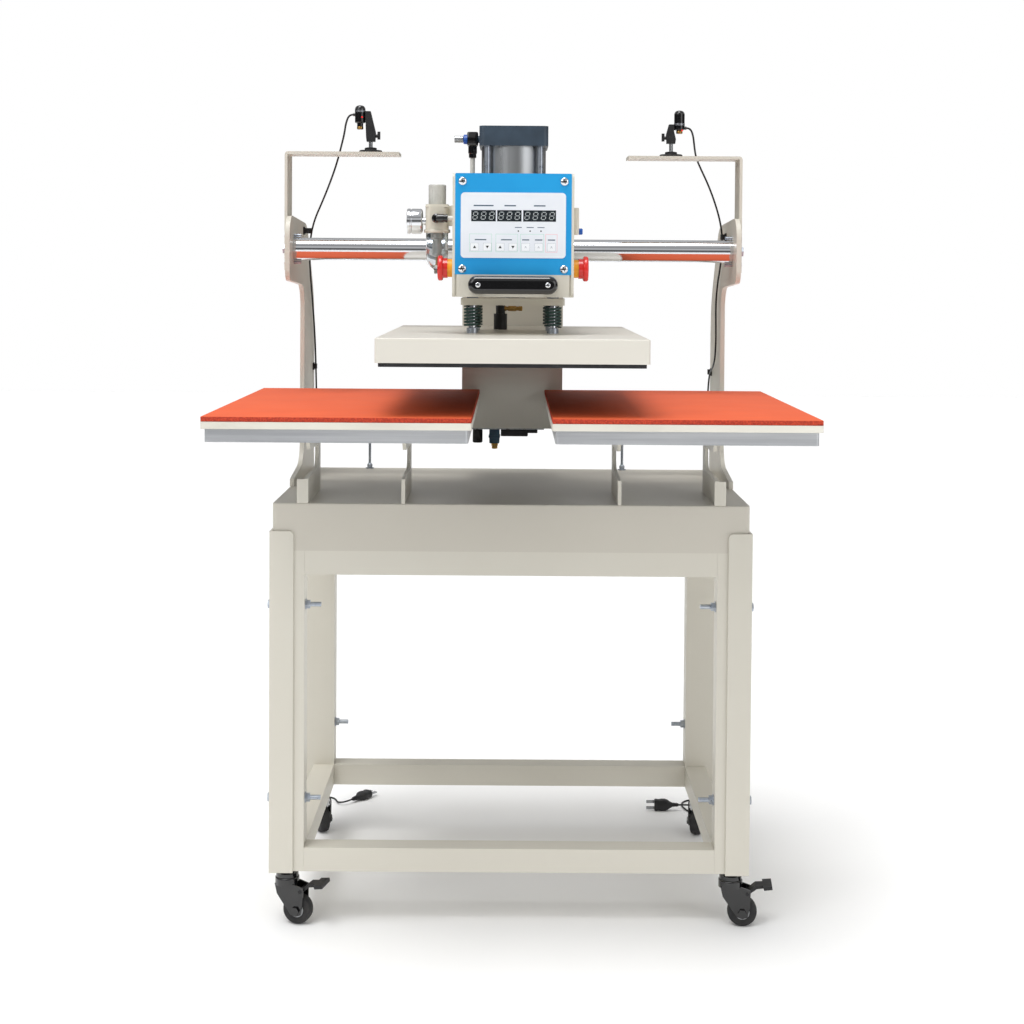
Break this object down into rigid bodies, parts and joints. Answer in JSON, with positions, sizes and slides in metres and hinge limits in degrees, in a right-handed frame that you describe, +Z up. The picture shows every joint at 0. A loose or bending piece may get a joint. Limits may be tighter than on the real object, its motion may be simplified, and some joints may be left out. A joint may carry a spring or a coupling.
{
  "type": "pneumatic heat press",
  "caption": "Heat press on a wheeled stand: a pneumatic heating head slides sideways between padded lower platens, with laser guides above",
  "frame": {"origin": "on the floor, under the middle of the press without its loose leads", "axes": "+X to the operator's right, +Y away from the operator, +Z up"},
  "size_m": [0.919, 1.0055, 1.4005],
  "materials": {
    "powder_coat": "satin",
    "cover_paint": "satin",
    "panel_blue": "satin",
    "aluminium_plate": "satin",
    "cast_alu": "matte",
    "cap_slate": "satin",
    "barrel_alu": "satin",
    "chrome": "polished",
    "zinc": "satin",
    "spring_green": "gloss",
    "pad_red": "matte",
    "pad_board": "satin",
    "estop_red": "gloss",
    "estop_yellow": "satin",
    "handle_black": "gloss",
    "keypad_film": "satin",
    "white_plastic": "satin",
    "clear_bowl": "gloss",
    "black_plastic": "matte",
    "gauge_body": "polished",
    "tyre_black": "matte",
    "laser_alu": "satin",
    "laser_black": "gloss",
    "cord_black": "satin",
    "bearing_steel": "satin"
  },
  "bodies": {
    "stand": {"table_top": "powder_coat", "leg_angles": "powder_coat", "stand_frame": "powder_coat", "stand_fasteners": "zinc", "uprights": "powder_coat", "guide_bars": "chrome", "bar_bolts": "zinc", "platen_brackets": "powder_coat", "platen_frames": "cast_alu", "platen_plates": "pad_board", "platen_pads": "pad_red", "caster_stems": "zinc", "laser_brackets": "powder_coat", "laser_bases": "laser_alu", "cord_clips": "black_plastic", "laser_cord_left": "cord_black", "laser_cord_right": "cord_black", "laser_plug_left": "cord_black", "laser_plug_right": "cord_black"},
    "head": {"carriage_housing": "powder_coat", "carriage_bearings": "bearing_steel", "cylinder_caps": "cap_slate", "cylinder_barrel": "barrel_alu", "tie_rods": "zinc", "control_box": "powder_coat", "control_panel": "panel_blue", "keypad": "keypad_film", "panel_screws": "zinc", "front_handle": "handle_black", "estop_bases": "estop_yellow", "filter_body": "white_plastic", "filter_bowl": "clear_bowl", "pressure_gauge": "gauge_body", "air_fittings": "white_plastic", "solenoid_valve": "black_plastic"},
    "ram": {"piston_rod": "chrome", "pressure_plate": "powder_coat", "pressure_springs": "spring_green"},
    "platen": {"heating_plate": "cast_alu", "platen_cover": "cover_paint", "spring_bolts": "zinc", "heater_gland": "black_plastic"},
    "stop_left": {"estop_left": "estop_red"},
    "stop_right": {"estop_right": "estop_red"},
    "regulator": {"regulator_knob": "white_plastic"},
    "needle": {"flow_needle": "black_plastic"},
    "caster_front_left": {"caster_fork_front_left": "zinc"},
    "wheel_front_left": {"caster_wheel_front_left": "tyre_black"},
    "pedal_front_left": {"brake_pedal_front_left": "zinc"},
    "caster_front_right": {"caster_fork_front_right": "zinc"},
    "wheel_front_right": {"caster_wheel_front_right": "tyre_black"},
    "pedal_front_right": {"brake_pedal_front_right": "zinc"},
    "caster_rear_left": {"caster_fork_rear_left": "zinc"},
    "wheel_rear_left": {"caster_wheel_rear_left": "tyre_black"},
    "caster_rear_right": {"caster_fork_rear_right": "zinc"},
    "wheel_rear_right": {"caster_wheel_rear_right": "tyre_black"},
    "laser_arm_left_body": {"laser_arm_left": "laser_alu"},
    "laser_left": {"laser_head_left": "laser_black"},
    "laser_arm_right_body": {"laser_arm_right": "laser_alu"},
    "laser_right": {"laser_head_right": "laser_black"}
  },
  "joints": [
    {"name": "head_shift", "type": "slide", "parent": "stand", "child": "head", "axis": [1, 0, 0], "range_m": [-0.2595, 0.2595]},
    {"name": "press_stroke", "type": "slide", "parent": "head", "child": "ram", "axis": [0, 0, 1], "range_m": [-0.074, 0]},
    {"name": "platen_float", "type": "slide", "parent": "ram", "child": "platen", "axis": [0, 0, 1], "range_m": [0, 0.006], "stiffness_N_per_m": 160000, "springref_m": -0.002, "deforming": ["pressure_springs"]},
    {"name": "stop_left_push", "type": "slide", "parent": "head", "child": "stop_left", "axis": [1, 0, 0], "range_m": [0, 0.004]},
    {"name": "stop_right_push", "type": "slide", "parent": "head", "child": "stop_right", "axis": [-1, 0, 0], "range_m": [0, 0.004]},
    {"name": "regulator_turn", "type": "hinge", "parent": "head", "child": "regulator", "pos_m": [-0.1225, -0.178, 1.22], "axis": [0, 0, 1], "range_deg": [-720, 720]},
    {"name": "needle_turn", "type": "hinge", "parent": "head", "child": "needle", "pos_m": [-0.0905, -0.107, 1.323], "axis": [1, 0, 0], "range_deg": [-720, 720]},
    {"name": "swivel_front_left", "type": "hinge", "parent": "stand", "child": "caster_front_left", "pos_m": [-0.376, -0.072, 0.07], "axis": [0, 0, 1], "continuous": true},
    {"name": "spin_front_left", "type": "hinge", "parent": "caster_front_left", "child": "wheel_front_left", "pos_m": [-0.35659, -0.07684, 0.025], "axis": [0.2419, 0.9703, 0], "continuous": true},
    {"name": "brake_front_left", "type": "hinge", "parent": "caster_front_left", "child": "pedal_front_left", "pos_m": [-0.34883, -0.07877, 0.058], "axis": [0.2419, 0.9703, 0], "range_deg": [0, 8]},
    {"name": "swivel_front_right", "type": "hinge", "parent": "stand", "child": "caster_front_right", "pos_m": [0.376, -0.072, 0.07], "axis": [0, 0, 1], "continuous": true},
    {"name": "spin_front_right", "type": "hinge", "parent": "caster_front_right", "child": "wheel_front_right", "pos_m": [0.39589, -0.07409, 0.025], "axis": [0.1045, 0.9945, 0], "continuous": true},
    {"name": "brake_front_right", "type": "hinge", "parent": "caster_front_right", "child": "pedal_front_right", "pos_m": [0.40385, -0.07493, 0.058], "axis": [0.1045, 0.9945, 0], "range_deg": [0, 8]},
    {"name": "swivel_rear_left", "type": "hinge", "parent": "stand", "child": "caster_rear_left", "pos_m": [-0.376, 0.387, 0.07], "axis": [0, 0, 1], "continuous": true},
    {"name": "spin_rear_left", "type": "hinge", "parent": "caster_rear_left", "child": "wheel_rear_left", "pos_m": [-0.36851, 0.36846, 0.025], "axis": [0.9272, 0.3746, 0], "continuous": true},
    {"name": "swivel_rear_right", "type": "hinge", "parent": "stand", "child": "caster_rear_right", "pos_m": [0.376, 0.387, 0.07], "axis": [0, 0, 1], "continuous": true},
    {"name": "spin_rear_right", "type": "hinge", "parent": "caster_rear_right", "child": "wheel_rear_right", "pos_m": [0.36982, 0.36798, 0.025], "axis": [0.9511, -0.309, 0], "continuous": true},
    {"name": "laser_swivel_left", "type": "hinge", "parent": "stand", "child": "laser_arm_left_body", "pos_m": [-0.2555, 0.108, 1.33], "axis": [0, 0, 1], "range_deg": [-35, 35], "deforming": ["laser_cord_left"]},
    {"name": "laser_tilt_left", "type": "hinge", "parent": "laser_arm_left_body", "child": "laser_left", "pos_m": [-0.2745, 0.108, 1.384], "axis": [1, 0, 0], "range_deg": [-50, 50]},
    {"name": "laser_swivel_right", "type": "hinge", "parent": "stand", "child": "laser_arm_right_body", "pos_m": [0.281, 0.108, 1.33], "axis": [0, 0, 1], "range_deg": [-35, 35], "deforming": ["laser_cord_right"]},
    {"name": "laser_tilt_right", "type": "hinge", "parent": "laser_arm_right_body", "child": "laser_right", "pos_m": [0.2955, 0.108, 1.364], "axis": [1, 0, 0], "range_deg": [-50, 50]}
  ]
}
